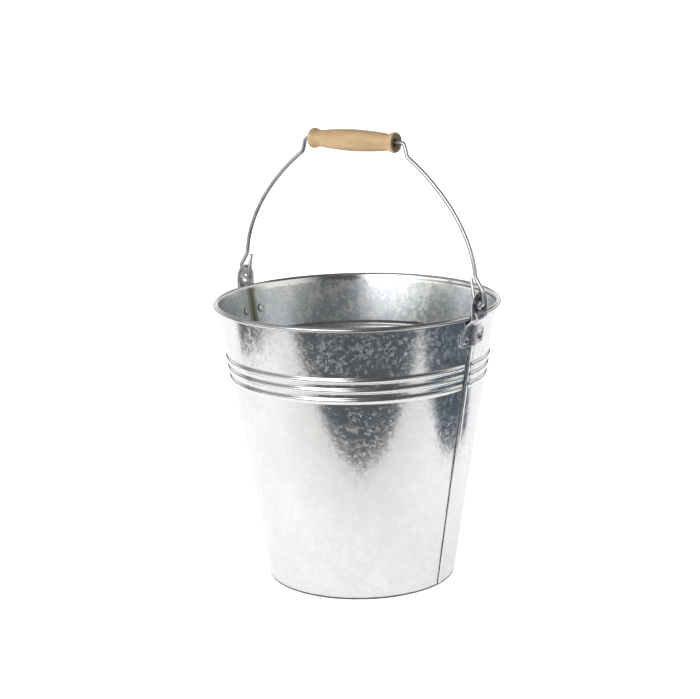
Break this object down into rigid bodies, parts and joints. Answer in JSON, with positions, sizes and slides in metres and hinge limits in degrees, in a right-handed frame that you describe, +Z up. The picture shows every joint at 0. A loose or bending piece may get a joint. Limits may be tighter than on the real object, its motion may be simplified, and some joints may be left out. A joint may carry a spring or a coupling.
{
  "type": "florist bucket",
  "caption": "Tapered galvanised steel bucket with a rolled rim, swaged ribs, riveted ears and a swinging wire bail with a turned wooden grip.",
  "frame": {"origin": "centre of the foot rim, on the surface the bucket stands on", "axes": "+Z up; +X along the bail's hinge line, so the ears and side seams are at +X and -X; +Y to the back"},
  "size_m": [0.315, 0.3, 0.4724],
  "materials": {
    "galvanised_body": "hot-dip galvanised with soft spangle, satin",
    "galvanised_bottom": "hot-dip galvanised, satin",
    "stamped_ear": "stamped zinc-plated steel, polished by the press",
    "zinc_wire": "drawn galvanised wire, satin",
    "rivet_zinc": "zinc-plated, satin",
    "seam_sealer": "matt, slightly translucent smear",
    "beech_grip": "turned beech, thin clear coat, satin"
  },
  "bodies": {
    "bucket": {"body_panel_front": "galvanised_body", "body_panel_back": "galvanised_body", "bottom_disc": "galvanised_bottom", "rim_wire": "zinc_wire", "base_sealant_ring": "seam_sealer", "seam_sealant_left": "seam_sealer", "seam_sealant_right": "seam_sealer", "ear_left": "stamped_ear", "ear_right": "stamped_ear", "rivet_left_front": "rivet_zinc", "rivet_left_back": "rivet_zinc", "rivet_right_front": "rivet_zinc", "rivet_right_back": "rivet_zinc"},
    "bail": {"bail_wire": "zinc_wire"},
    "grip": {"grip": "beech_grip"}
  },
  "joints": [
    {"name": "bail_swing", "type": "hinge", "parent": "bucket", "child": "bail", "pos_m": [0, 0, 0.304], "axis": [1, 0, 0], "range_deg": [-89, 89]},
    {"name": "grip_spin", "type": "hinge", "parent": "bail", "child": "grip", "pos_m": [0, 0, 0.461], "axis": [1, 0, 0], "continuous": true}
  ]
}
